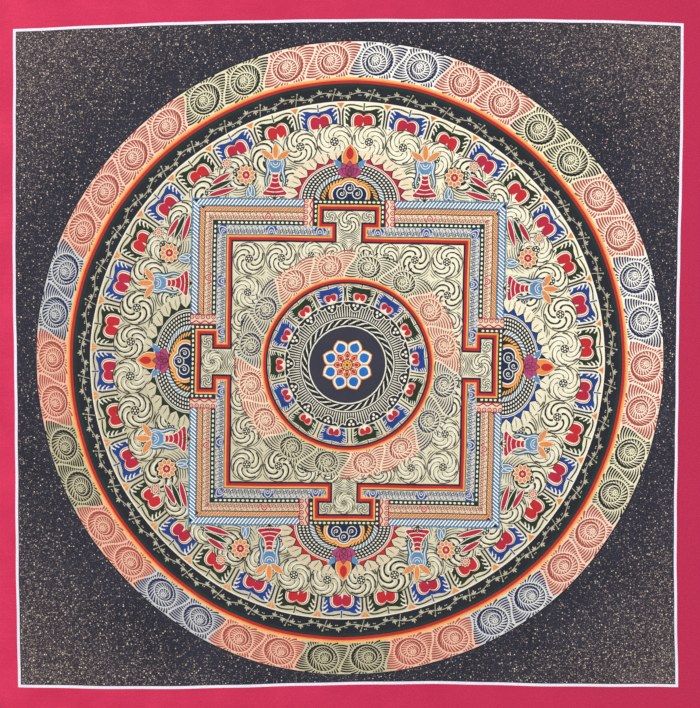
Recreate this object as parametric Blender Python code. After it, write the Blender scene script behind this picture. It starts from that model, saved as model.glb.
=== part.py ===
"""Painted mandala thangka: one hand-painted canvas, unmounted, hanging by its top edge.

The canvas is a single piece of sized cotton. It is modelled as it hangs: the top edge is held, the
sides and the lower edge are a little bowed from hand cutting, and the cloth carries the soft curl of
a painting that has been kept rolled, with a few shallow vertical waves that open towards the bottom.

Frame: metres, +Z up, the painted face looks along -Y, and the origin is the middle of the top edge.
"""

import math

import bmesh
import bpy

# Driving dimensions of the cut canvas
WIDTH = 0.500
HEIGHT = 0.508
THICKNESS = 0.001

# Mesh cells across and down
CELLS_ACROSS = 34
CELLS_DOWN = 34

# How far each cut edge leaves a straight line: (place along the edge from 0 to 1, offset outwards)
TOP_BOW = [(0.0, -0.0092), (0.25, -0.0028), (0.55, 0.0), (0.85, -0.0012), (1.0, -0.0052)]
BOTTOM_BOW = [(0.0, -0.0002), (0.3, 0.0018), (0.62, -0.0017), (0.85, 0.0002), (1.0, 0.0)]
LEFT_BOW = [(0.0, -0.0028), (0.3, 0.0), (0.6, -0.0004), (0.8, -0.0018), (1.0, -0.0040)]
RIGHT_BOW = [(0.0, 0.0), (0.3, -0.0004), (0.7, -0.0026), (1.0, -0.0024)]
BOW_FADE = 3.0

# Soft forms of the hanging cloth: depths are towards the viewer where they are positive
CURL_BOTTOM = 0.0070
CURL_BOTTOM_POWER = 3.0
BELLY_DEPTH = -0.0035
SIDE_CURL = 0.0030
SIDE_CURL_POWER = 4.0

# Shallow vertical waves: (centre across, half width at the bottom, depth at the bottom), in metres
WAVES = [
    (-0.165, 0.085, 0.0022),
    (-0.020, 0.095, -0.0018),
    (0.130, 0.080, 0.0020),
]
WAVE_NARROWING = 0.35

CANVAS_COLOUR = (0.62, 0.05, 0.09, 1.0)
CANVAS_ROUGHNESS = 0.72


def slope_at(table, index):
    """Slope of a two-column table at one of its rows, from the rows on either side."""
    before = table[max(index - 1, 0)]
    after = table[min(index + 1, len(table) - 1)]
    return (after[1] - before[1]) / (after[0] - before[0])


def along(table, place):
    """Smooth value of a two-column table at a place along the edge."""
    index = 0
    while index < len(table) - 2 and place > table[index + 1][0]:
        index += 1
    start, low = table[index]
    end, high = table[index + 1]
    span = end - start
    share = (place - start) / span
    ease = share * share * (3.0 - 2.0 * share)
    lean_out = share * (1.0 - share) ** 2 * span * slope_at(table, index)
    lean_in = share * share * (share - 1.0) * span * slope_at(table, index + 1)
    return low + (high - low) * ease + lean_out + lean_in


def depth_at(across, down):
    """How far the cloth stands towards the viewer; across runs from -1 to 1, down from 0 to 1."""
    depth = CURL_BOTTOM * down ** CURL_BOTTOM_POWER
    depth += BELLY_DEPTH * math.sin(math.pi * down)
    depth += SIDE_CURL * abs(across) ** SIDE_CURL_POWER * down
    x = across * WIDTH / 2.0
    for centre, half_width, rise in WAVES:
        reach = half_width * (1.0 - WAVE_NARROWING * (1.0 - down))
        if abs(x - centre) < reach:
            depth += rise * down * 0.5 * (1.0 + math.cos(math.pi * (x - centre) / reach))
    return depth


def cloth_point(across, down):
    """A point on the middle of the hanging canvas."""
    side = (across + 1.0) / 2.0
    x = across * WIDTH / 2.0
    x += along(RIGHT_BOW, down) * side ** BOW_FADE
    x -= along(LEFT_BOW, down) * (1.0 - side) ** BOW_FADE
    z = -down * HEIGHT
    z += along(TOP_BOW, side) * (1.0 - down) ** BOW_FADE
    z -= along(BOTTOM_BOW, side) * down ** BOW_FADE
    return x, -depth_at(across, down), z


def canvas_material():
    """Crimson-painted cotton canvas."""
    material = bpy.data.materials.new("painted_canvas")
    material.use_nodes = True
    shader = material.node_tree.nodes["Principled BSDF"]
    shader.inputs["Base Color"].default_value = CANVAS_COLOUR
    shader.inputs["Roughness"].default_value = CANVAS_ROUGHNESS
    shader.inputs["Metallic"].default_value = 0.0
    material.diffuse_color = CANVAS_COLOUR
    return material


def painted_canvas():
    """One closed sheet: a grid laid over the hanging form, then thickened evenly."""
    bm = bmesh.new()
    bmesh.ops.create_grid(bm, x_segments=CELLS_ACROSS, y_segments=CELLS_DOWN, size=1.0)
    for vert in bm.verts:
        across = vert.co.x
        down = (1.0 - vert.co.y) / 2.0
        vert.co = cloth_point(across, down)
    bmesh.ops.recalc_face_normals(bm, faces=bm.faces)
    mesh = bpy.data.meshes.new("painted_canvas")
    bm.to_mesh(mesh)
    bm.free()
    mesh.shade_smooth()
    canvas = bpy.data.objects.new("painted_canvas", mesh)
    bpy.context.scene.collection.objects.link(canvas)
    canvas.data.materials.append(canvas_material())
    body = canvas.modifiers.new("cloth thickness", "SOLIDIFY")
    body.thickness = THICKNESS
    body.offset = 0.0
    body.use_even_offset = True
    return canvas


for leftover in list(bpy.data.objects):
    bpy.data.objects.remove(leftover)

painted_canvas()
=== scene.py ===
"""Looks of the painted mandala thangka: the hanging cotton canvas and, layer by layer, its paint.

The painting is laid out flat, in millimetres from the middle of the canvas (x to the right, y up), and
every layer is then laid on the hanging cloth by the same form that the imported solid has.
"""

import random
from math import atan2, ceil, cos, dist, exp, hypot, log, pi, radians, sin, tau

import bmesh
import bpy
import numpy as np
from mathutils import Matrix, Vector


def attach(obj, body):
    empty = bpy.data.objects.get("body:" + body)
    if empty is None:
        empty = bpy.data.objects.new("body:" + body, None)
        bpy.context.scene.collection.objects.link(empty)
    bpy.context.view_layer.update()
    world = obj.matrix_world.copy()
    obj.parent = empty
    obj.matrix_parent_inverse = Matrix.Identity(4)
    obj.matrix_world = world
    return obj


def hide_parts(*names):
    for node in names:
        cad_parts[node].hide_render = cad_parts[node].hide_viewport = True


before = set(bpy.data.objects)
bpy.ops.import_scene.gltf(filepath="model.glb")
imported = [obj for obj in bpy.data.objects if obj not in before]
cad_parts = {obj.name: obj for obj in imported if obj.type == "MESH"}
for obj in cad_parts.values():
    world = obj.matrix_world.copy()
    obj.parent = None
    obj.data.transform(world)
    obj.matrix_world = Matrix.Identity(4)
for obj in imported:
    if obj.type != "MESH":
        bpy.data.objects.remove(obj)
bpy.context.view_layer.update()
CANVAS = "painted_canvas"
HAND = random.Random(31)
SIDES = (-1.0, 1.0)
MM = 0.001

# The cut canvas, in millimetres, and the form in which it hangs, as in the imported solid
WIDTH = 500.0
HEIGHT = 508.0
THICKNESS = 0.8
TOP_BOW = [(0.0, -9.2), (0.25, -2.8), (0.55, 0.0), (0.85, -1.2), (1.0, -5.2)]
BOTTOM_BOW = [(0.0, -0.2), (0.3, 1.8), (0.62, -1.7), (0.85, 0.2), (1.0, 0.0)]
LEFT_BOW = [(0.0, -2.8), (0.3, 0.0), (0.6, -0.4), (0.8, -1.8), (1.0, -4.0)]
RIGHT_BOW = [(0.0, 0.0), (0.3, -0.4), (0.7, -2.6), (1.0, -2.4)]
BOW_FADE = 3.0
CURL_BOTTOM = 7.0
CURL_BOTTOM_POWER = 3.0
BELLY_DEPTH = -3.5
SIDE_CURL = 3.0
SIDE_CURL_POWER = 4.0
WAVES = [(-165.0, 85.0, 2.2), (-20.0, 95.0, -1.8), (130.0, 80.0, 2.0)]
WAVE_NARROWING = 0.35
SHEET_CELLS = (110, 112)

# The painted field and the round mandala on it
FIELD = (-230.0, -227.2, 226.2, 226.8)
LINE = 1.9
DISC_MIDDLE = (0.7, -4.0)
DISC_STRETCH = (1.010, 1.014)
INNER_SHIFT = (-1.9, -1.3)
INNER_TURN = radians(1.0)

# Thickness of a coat of paint, size of the cells in which it follows the cloth, and the finest stroke
LAYER = 0.03
CELL = 4.6
FINEST = 0.05

# Rings of the mandala, as radii from its middle
RIM = 214.6
SCROLL_RING = (191.4, 213.8)
RING_LINES = ((190.2, 191.4), (189.3, 190.2), (187.4, 189.3), (185.0, 187.4))
GILT_RING = (175.4, 185.0)
LOTUS_RING = (149.7, 174.5)
CLOUD_EDGE = 154.0
INNER_RIM = 58.0
INNER_LINES = ((57.2, 58.0), (56.5, 57.2), (54.9, 56.5), (53.6, 54.9))
INNER_LOTUS = (42.7, 53.6)
CUSP_RIM = INNER_LOTUS[0] - 0.6
RAY_RING = (31.5, 41.2)
CORD_RING = (26.4, 30.6)
HUB = 25.4

# How far a group of pieces reaches, its drift from the middle and its stretch: circle, palace, rings
PLACES = (
    (80.0, (-0.4, -2.3), (1.018, 1.022)),
    (162.0, (-1.0, -1.1), (0.994, 1.031)),
    (300.0, (0.0, 0.0), (1.0, 1.0)),
)
# The same two for the cloud whorls round the palace, which drift less than the palace does
FIELD_PLACE = ((-0.2, -0.2), (1.024, 1.030))

# Half sizes of the square palace, and how far in from its outer edge each border starts and ends
PALACE = 107.0
BLUE_ROPE = (0.0, 4.5)
ORANGE_ROPE = (4.9, 8.5)
ROSE_BAND = (8.9, 13.9)
PEARL_BAND = (13.9, 17.3)
BLUE_BAND = (17.3, 23.4)
ROPE_PITCH = 2.5
SCROLL_PITCH = 4.1
PEARL_PITCH = 3.1
COURT = 78.8
COURT_LINES = ((0.0, 1.3), (1.3, 3.0), (3.0, 3.6), (3.6, 4.2))
GATE_STEPS = [(8.2, 92.6), (17.0, 99.8)]
PORCH_PEARLS = (21.0, 24.3)
PORCH_TOP = 107.4
COLUMN = 6.6
COLUMN_TOP = PORCH_TOP + 0.8
# How far the ropes and pearls run in behind the columns of the porches
TUCK = 1.3


# ---- the form of the cloth
def along(table, places):
    """Smooth values of a two-column table at places along an edge."""
    x, y = np.array(table).T
    after, before = np.r_[1:len(x), -1], np.r_[0, :len(x) - 1]
    slopes = (y[after] - y[before]) / (x[after] - x[before])
    row = np.clip(np.searchsorted(x, places) - 1, 0, len(x) - 2)
    span = x[row + 1] - x[row]
    share = (places - x[row]) / span
    ease = share * share * (3.0 - 2.0 * share)
    lean_out = share * (1.0 - share) ** 2 * span * slopes[row]
    lean_in = share * share * (share - 1.0) * span * slopes[row + 1]
    return y[row] + (y[row + 1] - y[row]) * ease + lean_out + lean_in


def depth_at(x, across, down):
    """How far the cloth stands towards the viewer."""
    depth = CURL_BOTTOM * down ** CURL_BOTTOM_POWER
    depth += BELLY_DEPTH * np.sin(np.pi * down)
    depth += SIDE_CURL * np.abs(across) ** SIDE_CURL_POWER * down
    for centre, half_width, rise in WAVES:
        reach = half_width * (1.0 - WAVE_NARROWING * (1.0 - down))
        near = np.clip((x - centre) / reach, -1.0, 1.0)
        depth += rise * down * 0.5 * (1.0 + np.cos(np.pi * near))
    return depth


def middle_of_cloth(x, y):
    """Where flat points of the painting lie on the middle of the hanging canvas, in millimetres."""
    across = np.clip(x / (WIDTH / 2.0), -1.0, 1.0)
    down = np.clip((HEIGHT / 2.0 - y) / HEIGHT, 0.0, 1.0)
    side = (across + 1.0) / 2.0
    across_mm = x + along(RIGHT_BOW, down) * side ** BOW_FADE
    across_mm -= along(LEFT_BOW, down) * (1.0 - side) ** BOW_FADE
    up_mm = -down * HEIGHT + along(TOP_BOW, side) * (1.0 - down) ** BOW_FADE
    up_mm -= along(BOTTOM_BOW, side) * down ** BOW_FADE
    return np.stack([across_mm, -depth_at(x, across, down), up_mm], axis=1)


def points_of(mesh):
    """A mesh's points as rows of x, y and z."""
    flat = np.empty(len(mesh.vertices) * 3, np.float32)
    mesh.vertices.foreach_get("co", flat)
    return flat.reshape(-1, 3).astype(float)


def hang(mesh, flat):
    """Moves a mesh to where its flat points (x, y, height over the middle of the cloth) hang."""
    step = 0.5
    x, y = flat[:, 0], flat[:, 1]
    along_x = middle_of_cloth(x + step, y) - middle_of_cloth(x - step, y)
    along_y = middle_of_cloth(x, y + step) - middle_of_cloth(x, y - step)
    normal = np.cross(along_x, along_y)
    normal /= np.linalg.norm(normal, axis=1)[:, None]
    places = (middle_of_cloth(x, y) + normal * flat[:, 2:3]) * MM
    mesh.vertices.foreach_set("co", places.astype(np.float32).ravel())


def show(name, data):
    """Puts a mesh, lamp or camera in the scene."""
    shown = bpy.data.objects.new(name, data)
    bpy.context.scene.collection.objects.link(shown)
    return shown


# ---- materials
def srgb(red, green, blue):
    """A colour given as it is seen, 0 to 255, as the linear numbers that a shader takes."""
    seen = [channel / 255.0 for channel in (red, green, blue)]
    return tuple(c / 12.92 if c <= 0.04045 else ((c + 0.055) / 1.055) ** 2.4 for c in seen)


class Look:
    """One material, with short ways to add shader nodes; colours are given as they are seen, 0 to 255."""

    def __init__(self, name, roughness):
        self.material = bpy.data.materials.new(name)
        self.material.use_nodes = True
        self.tree = self.material.node_tree
        self.shader = self.tree.nodes["Principled BSDF"].inputs
        self.shader["Roughness"].default_value = roughness
        self.shader["Specular IOR Level"].default_value = 0.15
        self.where = self.node("TexCoord").outputs["Object"]
        self.x, _, self.z = self.node("SeparateXYZ", Vector=self.where).outputs

    def join(self, socket, value):
        """Sets an input to a number or colour, or links it to an output."""
        if hasattr(value, "is_output"):
            self.tree.links.new(value, socket)
        else:
            socket.default_value = (*srgb(*value), 1.0) if socket.type == "RGBA" else value

    def node(self, kind, **inputs):
        """A new node, with _ for the spaces in the names of its inputs."""
        made = self.tree.nodes.new(f"ShaderNode{kind}")
        for name, value in inputs.items():
            self.join(made.inputs[name.replace("_", " ")], value)
        return made

    def spread(self, value, low, high, to_low=0.0, to_high=1.0):
        """Stretches a value's range to another one, and keeps it in that."""
        limits = {"From_Min": low, "From_Max": high, "To_Min": to_low, "To_Max": to_high}
        return self.node("MapRange", Value=value, **limits).outputs["Result"]

    def noise(self, where, scale, detail):
        made = self.node("TexNoise", Vector=where, Scale=scale, Detail=detail, Roughness=0.55)
        return made.outputs["Fac"]

    def clouds(self, scale, detail, low=0.3, where=None):
        return self.spread(self.noise(where or self.where, scale, detail), low, 0.7)

    def blend(self, share, first, second):
        """Mixes two colours; each is a colour or an output, and so is the share."""
        node = self.node("Mix")
        node.data_type = "RGBA"
        for socket, value in ((0, share), (6, first), (7, second)):
            self.join(node.inputs[socket], value)
        return node.outputs[2]

    def maths(self, kind, *values):
        node = self.node("Math")
        node.operation = kind
        for socket, value in zip(node.inputs, values):
            self.join(socket, value)
        return node.outputs[0]

    def add(self, first, second):
        return self.maths("ADD", first, second)

    def times(self, first, second):
        return self.maths("MULTIPLY", first, second)

    def weave(self, threads_a_metre=1300.0):
        """Plain weave of the canvas, softened by its size: crossed ridges of warp and weft."""
        turns = [self.times(axis, threads_a_metre * pi) for axis in (self.x, self.z)]
        return self.times(*(self.maths("SINE", turn) for turn in turns))

    def finish(self, colour, height, depth):
        """Joins colour and bump to the shader, the bump's depth in millimetres."""
        self.join(self.shader["Base Color"], colour)
        bump = self.node("Bump", Strength=1.0, Distance=depth * MM, Height=height)
        self.join(self.shader["Normal"], bump.outputs["Normal"])
        return self.material


def paint(name, colour, deeper, lower_left_shade=0.0, to=(170, 160, 126), roughness=0.62):
    """Opaque water paint: uneven in depth from stroke to stroke, and darkened by painted shade towards the
    lower left.
    """
    look = Look(name, roughness)
    grainy = look.clouds(900.0, 2.0)
    depth = look.add(look.times(look.clouds(60.0, 4.0), 0.6), look.times(grainy, 0.4))
    tone = look.blend(depth, deeper, colour)
    # Painted shade: the tone darkens towards the given colour in the lower left of the canvas, where less
    # light falls.
    if lower_left_shade:
        lower_left = look.spread(look.add(look.x, look.z), -0.10, -0.42, 0.0, lower_left_shade)
        tone = look.blend(lower_left, tone, to)
    return look.finish(tone, look.add(grainy, look.times(look.weave(), 0.6)), 0.04)


def cotton_material():
    """Bare cotton at the back and the cut edge, with a faint show-through of the sized paint."""
    look = Look("sized_cotton", 0.86)
    slub = look.clouds(420.0, 2.0)
    colour = look.blend(look.clouds(14.0, 5.0, 0.35), (226, 216, 194), (206, 192, 166))
    colour = look.blend(look.times(slub, 0.35), colour, (190, 176, 150))
    return look.finish(colour, look.add(look.weave(), slub), 0.12)


# Gold dust on the charcoal: cells a metre, share of them filled in the corners and elsewhere, size, colour
DUSTINGS = (
    (1500.0, 0.74, 0.208, 0.46, (122, 110, 112)),
    (1050.0, 0.62, 0.112, 0.42, (190, 170, 162)),
    (700.0, 0.20, 0.056, 0.34, (250, 234, 214)),
)
# Reach in metres from the middle of the mandala over which the dust thickens
CORNER = (0.228, 0.315)


def charcoal_material():
    """Charcoal ground spattered with fine gold, thickest in the four corners of the field."""
    look = Look("charcoal_ground", 0.66)
    off_z = look.maths("SUBTRACT", look.z, -(HEIGHT / 2.0 - DISC_MIDDLE[1]) * MM)
    reach = look.maths("SQRT", look.add(look.times(look.x, look.x), look.times(off_z, off_z)))
    corner = look.spread(reach, *CORNER)
    ground = look.blend(look.clouds(26.0, 4.0), (39, 40, 51), (50, 50, 63))
    ground = look.blend(look.times(corner, 0.5), ground, (72, 58, 58))
    flat = look.node("CombineXYZ", X=look.x, Y=look.z).outputs[0]
    for cells, common, rare, size, tone in DUSTINGS:
        voronoi = look.node("TexVoronoi", Scale=cells, Vector=flat)
        voronoi.voronoi_dimensions = "2D"
        chance = look.node("SeparateColor", Color=voronoi.outputs["Color"]).outputs
        chosen = look.maths("LESS_THAN", chance[0], look.spread(corner, 0.0, 1.0, rare, common))
        fleck = look.times(chosen, look.spread(voronoi.outputs["Distance"], size, size * 0.6))
        strength = look.times(fleck, look.spread(chance[1], 0.0, 1.0, 0.1, 1.0))
        ground = look.blend(strength, ground, tone)
    return look.finish(ground, look.add(look.noise(look.where, 900.0, 2.0), look.weave()), 0.05)


def crimson_material():
    """Crimson margin: flat water paint with soft clouds and the faint drag of a broad brush, darkened by
    painted shade towards the right.
    """
    look = Look("crimson_margin", 0.6)
    drag = look.node("Mapping", Scale=(40.0, 1.0, 420.0), Vector=look.where).outputs["Vector"]
    streak = look.clouds(1.0, 3.0, 0.35, drag)
    colour = look.blend(look.clouds(34.0, 5.0), (210, 44, 86), (230, 58, 100))
    colour = look.blend(look.times(streak, 0.3), colour, (200, 39, 82))
    # Painted shade: the margin darkens towards the right side, away from the light on the left.
    colour = look.blend(look.spread(look.x, 0.25, -0.25), (192, 42, 82), colour)
    return look.finish(colour, look.add(streak, look.weave()), 0.05)


# The fifth number of a paint is the strength of its painted shade towards the lower left.
CREAM = paint("cream_paint", (252, 247, 221), (237, 229, 196), 0.56)
BRIGHT = paint("bright_cream_paint", (255, 252, 236), (243, 237, 212), 0.2)
PINK_WASH = paint("pink_wash", (255, 236, 217), (250, 223, 200), 0.85, (240, 184, 156))
PALE_WASH = paint("pale_wash", (254, 252, 243), (243, 240, 228), 0.7, (184, 187, 188))
GOLD_WASH = paint("gold_wash", (250, 244, 214), (236, 229, 190), 0.62)
RED_INK = paint("red_ink", (184, 88, 76), (158, 68, 62))
NAVY_INK = paint("navy_ink", (50, 54, 98), (34, 38, 74))
BLACK_INK = paint("black_ink", (46, 46, 42), (30, 30, 30))
ORANGE = paint("orange_paint", (240, 156, 84), (224, 130, 66))
AMBER = paint("amber_paint", (252, 196, 116), (244, 172, 92))
RED = paint("red_paint", (206, 48, 54), (182, 38, 48))
CRIMSON = paint("rose_paint", (196, 44, 72), (172, 36, 60))
GREY_WASH = paint("pale_grey_wash", (230, 229, 222), (210, 212, 210), 0.3)
SLATE_INK = paint("slate_blue_ink", (66, 76, 106), (46, 56, 86))
MAGENTA = paint("magenta_paint", (192, 80, 132), (168, 62, 112))
SLATE = paint("slate_paint", (62, 63, 77), (52, 53, 66))
DARK_GREEN = paint("dark_green_paint", (42, 62, 54), (30, 46, 42))
BLACK = paint("black_paint", (44, 46, 55), (33, 34, 42))
BLUE = paint("blue_paint", (38, 74, 156), (28, 56, 128))
LEAF_GREEN = paint("leaf_green_paint", (46, 60, 42), (34, 44, 32))
SKY = paint("sky_paint", (112, 158, 196), (82, 128, 172))
BLUSH = paint("blush_paint", (249, 235, 206), (237, 217, 186), 0.4)
PEACH = paint("peach_paint", (255, 232, 200), (248, 212, 172))
ICE = paint("ice_white_paint", (248, 254, 253), (232, 242, 244))
COURT_BLUSH = paint("faded_pink_wash", (248, 226, 198), (238, 212, 184))
BROWN = paint("brown_paint", (112, 54, 38), (84, 40, 30))
GILT = paint("gilt_paint", (212, 207, 180), (172, 167, 138), roughness=0.42)
LILAC = paint("pale_line_paint", (246, 242, 254), (230, 228, 246))
DEEP_BLUE = paint("deep_blue_paint", (34, 50, 92), (24, 36, 70))
AZURE = paint("azure_paint", (44, 122, 200), (30, 96, 176))


# ---- brush tools, all in flat millimetres
def polar(radius, angle, x=0.0, y=0.0):
    """A point at a clock angle: zero is up and it turns to the right."""
    return x + radius * sin(angle), y + radius * cos(angle)


def shares(steps):
    return [i / steps for i in range(steps + 1)]


def turns(count, start=0.0):
    """Even clock angles round the whole turn."""
    return [tau * (i + start) / count for i in range(count)]


def lerp(a, b, share):
    return a[0] + (b[0] - a[0]) * share, a[1] + (b[1] - a[1]) * share


def arc_path(radius, start, end, steps, x=0.0, y=0.0):
    return [polar(radius, start + (end - start) * i / steps, x, y) for i in range(steps + 1)]


def circle(radius, steps, x=0.0, y=0.0):
    return arc_path(radius, 0.0, tau, steps, x, y)[:-1]


def curve_path(points, per_span, closed=False):
    """A smooth path through a few points."""
    count = len(points)
    path = []
    for i in range(count if closed else count - 1):
        near = [(i + k) % count if closed else min(max(i + k, 0), count - 1) for k in (-1, 0, 1, 2)]
        for t in shares(per_span)[:-1]:
            path.append(tuple(
                0.5 * (2 * q + (r - p) * t + (2 * p - 5 * q + 4 * r - s) * t * t
                       + (3 * q - p - 3 * r + s) * t ** 3)
                for p, q, r, s in zip(*(points[k] for k in near))
            ))
    return path if closed else path + [tuple(points[-1])]


def mirrored(points, side):
    return [(side * x, y) for x, y in points]


def both_sides(points):
    """An outline from its right half, which runs from one point on the middle line to the other."""
    return points + mirrored(points[-2:0:-1], -1.0)


def push_edge(bm, edge, left, right, places, ink):
    """Extrudes the stroke's last edge to its next two places."""
    made = bmesh.ops.extrude_edge_only(bm, edges=[edge])["geom"]
    fresh = [item for item in made if isinstance(item, bmesh.types.BMVert)]
    next(item for item in made if isinstance(item, bmesh.types.BMFace)).material_index = ink
    if (fresh[0].co - left.co).length_squared > (fresh[1].co - left.co).length_squared:
        fresh.reverse()
    fresh[0].co, fresh[1].co = places
    edge = next(e for e in fresh[0].link_edges if e.other_vert(fresh[0]) == fresh[1])
    return edge, fresh[0], fresh[1]


def first_edge(bm, places):
    left, right = (bm.verts.new(place) for place in places)
    return bm.edges.new((left, right)), left, right


def stroke(bm, path, widths, ink=0):
    """One stroke of the brush: an edge as long as the stroke is wide, pushed along its path.

    The width is one number, or three: at the start, in the middle and at the end.
    """
    if isinstance(widths, float):
        widths = (widths, widths, widths)
    last = len(path) - 1
    end = None
    for i, (x, y) in enumerate(path):
        half = max(float(np.interp(i / last, (0.0, 0.5, 1.0), widths)), FINEST) / 2.0
        back, ahead = path[max(i - 1, 0)], path[min(i + 1, last)]
        run, rise = ahead[0] - back[0], ahead[1] - back[1]
        size = hypot(run, rise) or 1.0
        off_x, off_y = -rise / size * half, run / size * half
        places = Vector((x + off_x, y + off_y, 0.0)), Vector((x - off_x, y - off_y, 0.0))
        end = push_edge(bm, *end, places, ink) if end else first_edge(bm, places)


def closed_stroke(bm, outline, width, ink=0):
    stroke(bm, outline + outline[:2], float(width), ink)


def as_mesh(bm, name="motif"):
    mesh = bpy.data.meshes.new(name)
    bm.to_mesh(mesh)
    bm.free()
    return mesh


def drawn(*calls):
    """New work, drawn by some functions, each followed by its arguments."""
    bm = bmesh.new()
    for draw, *args in calls:
        draw(bm, *args)
    return bm


def add_work(bm, other, ink=None):
    """Adds other work, in a paint of its own if one is given."""
    if ink is not None:
        for face in other.faces:
            face.material_index = ink
    mesh = as_mesh(other)
    bm.from_mesh(mesh)
    bpy.data.meshes.remove(mesh)


def patch(bm, outline, ink=0, longest=6.0):
    """A filled shape, with points near enough to each other to follow the cloth."""
    fill = bmesh.new()
    verts = [fill.verts.new((x, y, 0.0)) for x, y in outline]
    edges = [fill.edges.new((a, b)) for a, b in zip(verts, verts[1:] + verts[:1])]
    bmesh.ops.triangle_fill(fill, edges=edges, use_beauty=True)
    for _ in range(4):
        long_edges = [e for e in fill.edges if e.calc_length() > longest]
        if not long_edges:
            break
        bmesh.ops.subdivide_edges(fill, edges=long_edges, cuts=1)
        bmesh.ops.triangulate(fill, faces=fill.faces)
    add_work(bm, fill, ink)


def dot(bm, x, y, radius, ink=0, sides=7):
    made = bmesh.ops.create_circle(bm, cap_ends=True, segments=sides, radius=radius,
                                   matrix=Matrix.Translation((x, y, 0.0)))
    made["verts"][0].link_faces[0].material_index = ink


def ring(bm, inner, outer, ink=0, sweep=tau, start=0.0):
    """A band spun round the middle of the mandala from one radial edge."""
    spun = bmesh.new()
    rows = max(1, ceil((outer - inner) / CELL))
    verts = [spun.verts.new((*polar(inner + (outer - inner) * t, start), 0.0)) for t in shares(rows)]
    edges = [spun.edges.new(pair) for pair in zip(verts, verts[1:])]
    bmesh.ops.spin(spun, geom=verts + edges, cent=(0.0, 0.0, 0.0), axis=(0.0, 0.0, -1.0), angle=sweep,
                   steps=max(3, ceil(outer * sweep / CELL)), use_merge=sweep >= tau)
    add_work(bm, spun, ink)


def offset_outline(corners, distance):
    """An outline with square corners, moved by a distance to the left of its way round."""
    moved = []
    for before, (x, y), after in zip(corners[-1:] + corners[:-1], corners, corners[1:] + corners[:1]):
        ways = Vector((x, y)) - Vector(before), Vector(after) - Vector((x, y))
        turn = ways[0].normalized() + ways[1].normalized()
        moved.append((x - turn.y * distance, y + turn.x * distance))
    return moved


def band(bm, corners, near, far, ink=0, cell=CELL):
    """A straight-sided band round a closed outline, mitred at its corners."""
    rails = [offset_outline(corners, distance) for distance in (near, far)]
    rows = max(1, ceil(abs(far - near) / cell))
    for i in range(len(corners)):
        after = (i + 1) % len(corners)
        steps = max(1, ceil(dist(corners[i], corners[after]) / cell))
        for row in range(rows):
            ends = [[lerp(rails[0][k], rails[1][k], share) for k in (i, after)]
                    for share in (row / rows, (row + 1) / rows)]
            end = first_edge(bm, [(*ends[k][0], 0.0) for k in (0, 1)])
            for share in shares(steps)[1:]:
                places = [Vector((*lerp(*ends[k], share), 0.0)) for k in (0, 1)]
                end = push_edge(bm, *end, places, ink)


def tile(bm, x0, y0, x1, y1, ink=0):
    """A rectangle of paint in small cells."""
    grid = bmesh.new()
    across, up = (max(1, ceil(size / CELL)) for size in (x1 - x0, y1 - y0))
    bmesh.ops.create_grid(grid, x_segments=across, y_segments=up, size=1.0)
    for vert in grid.verts:
        vert.co.x = x0 + (x1 - x0) * (vert.co.x + 1.0) / 2.0
        vert.co.y = y0 + (y1 - y0) * (vert.co.y + 1.0) / 2.0
    add_work(bm, grid, ink)


def scale(bm, x, y):
    bmesh.ops.scale(bm, verts=bm.verts, vec=(x, y, 1.0))


def motif(draw, *args, bent_to=None, wide=1.0, size=1.0, **options):
    """Draws a motif once and keeps it as a mesh to be repeated; bent_to is the radius of its ring."""
    bm = bmesh.new()
    draw(bm, *args, **options)
    scale(bm, size * wide, size)
    if bent_to:
        for vert in bm.verts:
            vert.co.x, vert.co.y = polar(bent_to + vert.co.y, vert.co.x / bent_to)
    return as_mesh(bm)


def stamp(bm, mesh, matrix):
    """Repeats a motif at a place."""
    copy = mesh.copy()
    copy.transform(matrix)
    bm.from_mesh(copy)
    bpy.data.meshes.remove(copy)


def at(x, y, turn=0.0, size=1.0, flip=False):
    """A flat place for a motif: turned to the right, sized and, if flipped, mirrored."""
    return (Matrix.Translation((x, y, 0.0)) @ Matrix.Rotation(-turn, 4, "Z")
            @ Matrix.Diagonal((-size if flip else size, size, 1.0, 1.0)))


def around(bm, meshes, count, start=0.0, arc=tau):
    """Repeats one or more motifs in turn round the middle, or evenly over an arc of it."""
    for i in range(count):
        stamp(bm, meshes[i % len(meshes)], at(0.0, 0.0, start + arc / count * i))


def on_four_sides(quarter):
    """What is drawn for the top side, turned to all four sides."""
    return drawn((around, [as_mesh(quarter)], 4))


def wobble(flat):
    """The small drift of a line that is drawn by hand, in millimetres."""
    x, y = flat[:, 0], flat[:, 1]
    drift_x = 0.22 * np.sin(x / 23.0 + 1.3 * np.sin(y / 31.0)) + 0.10 * np.sin(y / 7.3 + x / 19.0)
    drift_y = 0.22 * np.sin(y / 27.0 + 1.1 * np.sin(x / 37.0)) + 0.10 * np.sin(x / 8.1 - y / 17.0)
    return np.stack([drift_x, drift_y], axis=1)


def on_disc(flat, place=None):
    """Puts flat points of the mandala in their place on the field, its inner parts off centre and turned."""
    reach = np.hypot(flat[:, 0], flat[:, 1])
    inside = np.clip((RIM - reach) / (RIM - SCROLL_RING[0]), 0.0, 1.0)[:, None]
    cosine, sine = cos(INNER_TURN), sin(INNER_TURN)
    turned = flat @ np.array([[cosine, -sine], [sine, cosine]])
    drift, stretch = place or next(fit for limit, *fit in PLACES if reach.max() < limit)
    return turned * DISC_STRETCH * stretch + DISC_MIDDLE + inside * INNER_SHIFT + drift


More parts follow.
